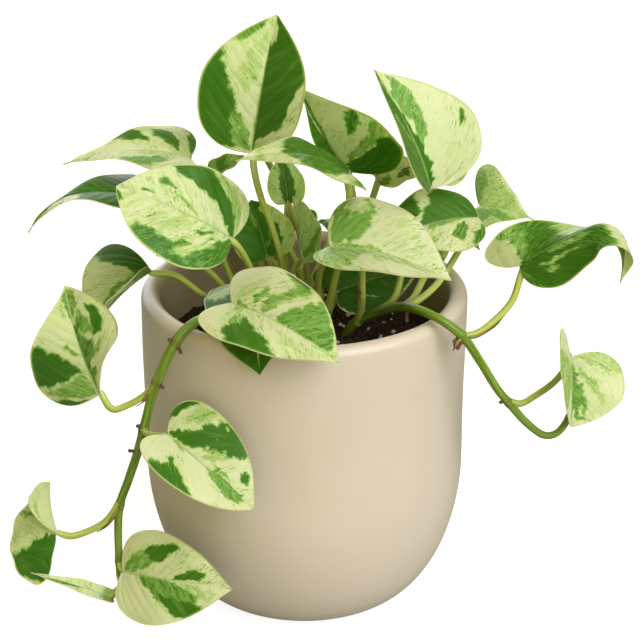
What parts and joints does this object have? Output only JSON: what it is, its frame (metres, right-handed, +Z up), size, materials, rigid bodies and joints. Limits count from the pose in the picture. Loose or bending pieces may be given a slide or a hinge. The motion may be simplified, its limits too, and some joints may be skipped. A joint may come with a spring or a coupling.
{
  "type": "potted pothos plant",
  "caption": "Heart-leaved marbled pothos in a round-bottomed ceramic planter, with stems trailing over the rim on both sides.",
  "frame": {"origin": "centre of the planter's flat base, on the surface it stands on", "axes": "+Z up through the planter, +X to the right and -Y to the front, as the picture shows the plant"},
  "size_m": [0.2589, 0.201, 0.2565],
  "materials": {
    "ceramic": "satin beige glaze",
    "soil": "matt dark potting soil",
    "stem": "satin green stem",
    "leaf": "satin leaf marbled in cream and green"
  },
  "bodies": {
    "root": {"planter": "ceramic", "soil": "soil", "stem_trailing_left": "stem", "stem_trailing_right": "stem", "stem_centre": "stem", "stem_back": "stem", "stem_left": "stem", "stem_rear": "stem", "leaf_top": "leaf", "leaf_upright": "leaf", "leaf_tall_right": "leaf", "leaf_bridge": "leaf", "leaf_far_left": "leaf", "leaf_low_left": "leaf", "leaf_broad_left": "leaf", "leaf_pot_left": "leaf", "leaf_front": "leaf", "leaf_front_under": "leaf", "leaf_centre": "leaf", "leaf_centre_right": "leaf", "leaf_far_right": "leaf", "leaf_inside": "leaf", "leaf_dark_fold": "leaf", "leaf_olive_fold": "leaf", "leaf_behind_right": "leaf", "leaf_behind_left": "leaf", "leaf_behind_bridge": "leaf", "leaf_rear_high_left": "leaf", "leaf_rear_high_right": "leaf", "leaf_rear_right": "leaf", "leaf_rear_left": "leaf", "leaf_rear_middle": "leaf", "leaf_rear_low_right": "leaf", "leaf_rear_low_left": "leaf", "leaf_left_1": "leaf", "leaf_left_2": "leaf", "leaf_left_3": "leaf", "leaf_left_4": "leaf", "leaf_left_5": "leaf", "leaf_right_1": "leaf", "leaf_right_2": "leaf"}
  },
  "joints": []
}
